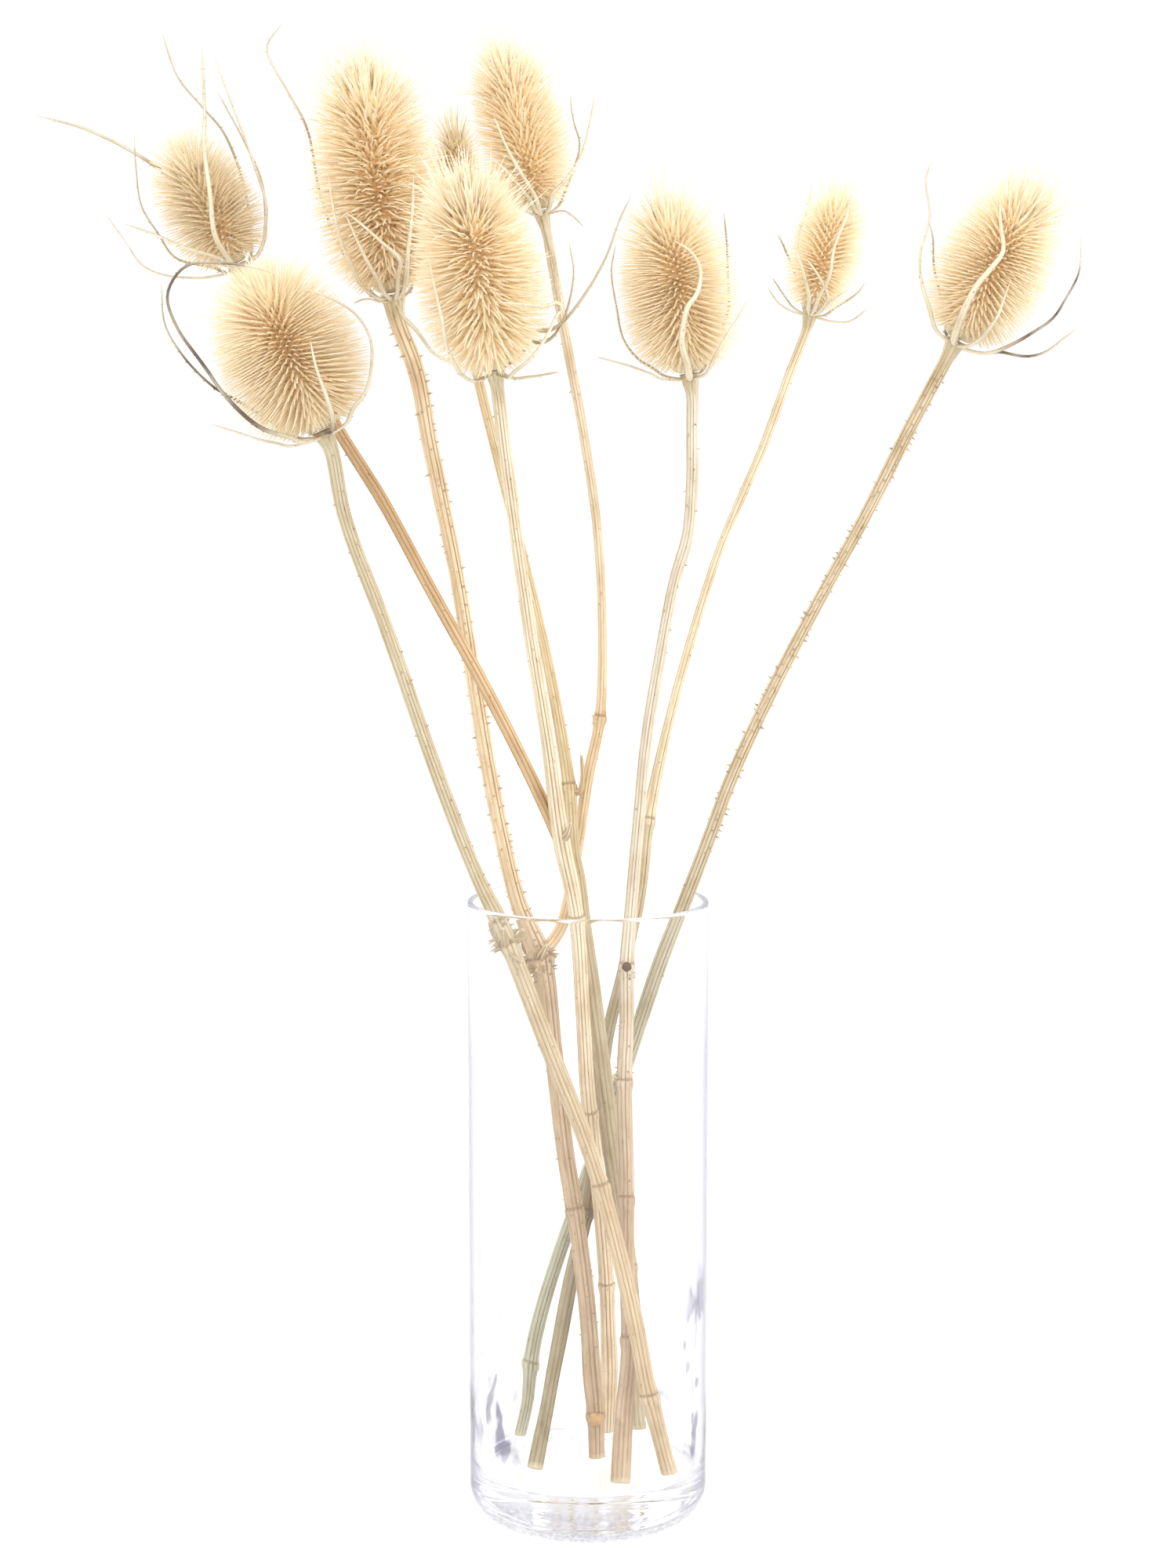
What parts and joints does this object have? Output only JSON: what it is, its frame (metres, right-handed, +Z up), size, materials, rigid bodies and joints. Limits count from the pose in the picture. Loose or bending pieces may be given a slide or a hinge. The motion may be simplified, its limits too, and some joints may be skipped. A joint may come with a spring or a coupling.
{
  "type": "teasel seed heads in glass vase",
  "caption": "Dried teasels with spiny egg-shaped seed heads and curved bracts, standing in a clear glass cylinder vase.",
  "frame": {"origin": "centre of the vase's flat base", "axes": "+Z up along the vase, -Y towards the viewer, +X to the viewer's right"},
  "size_m": [0.421, 0.1995, 0.6196],
  "materials": {
    "glass": "clear, fire-polished rim",
    "stems": "dry ribbed straw, matte",
    "heads": "dry spines, matte"
  },
  "bodies": {
    "root": {"vase": "glass", "stem_left_front": "stems", "stem_tall_forked": "stems", "stem_centre_forked": "stems", "stem_centre_back": "stems", "stem_right_centre": "stems", "stem_right_back": "stems", "stem_far_right": "stems", "head_left_front": "heads", "head_tall": "heads", "head_top_centre": "heads", "head_centre_front": "heads", "head_far_left": "heads", "head_small_hidden": "heads", "head_right_centre": "heads", "head_small_right": "heads", "head_far_right": "heads"}
  },
  "joints": []
}
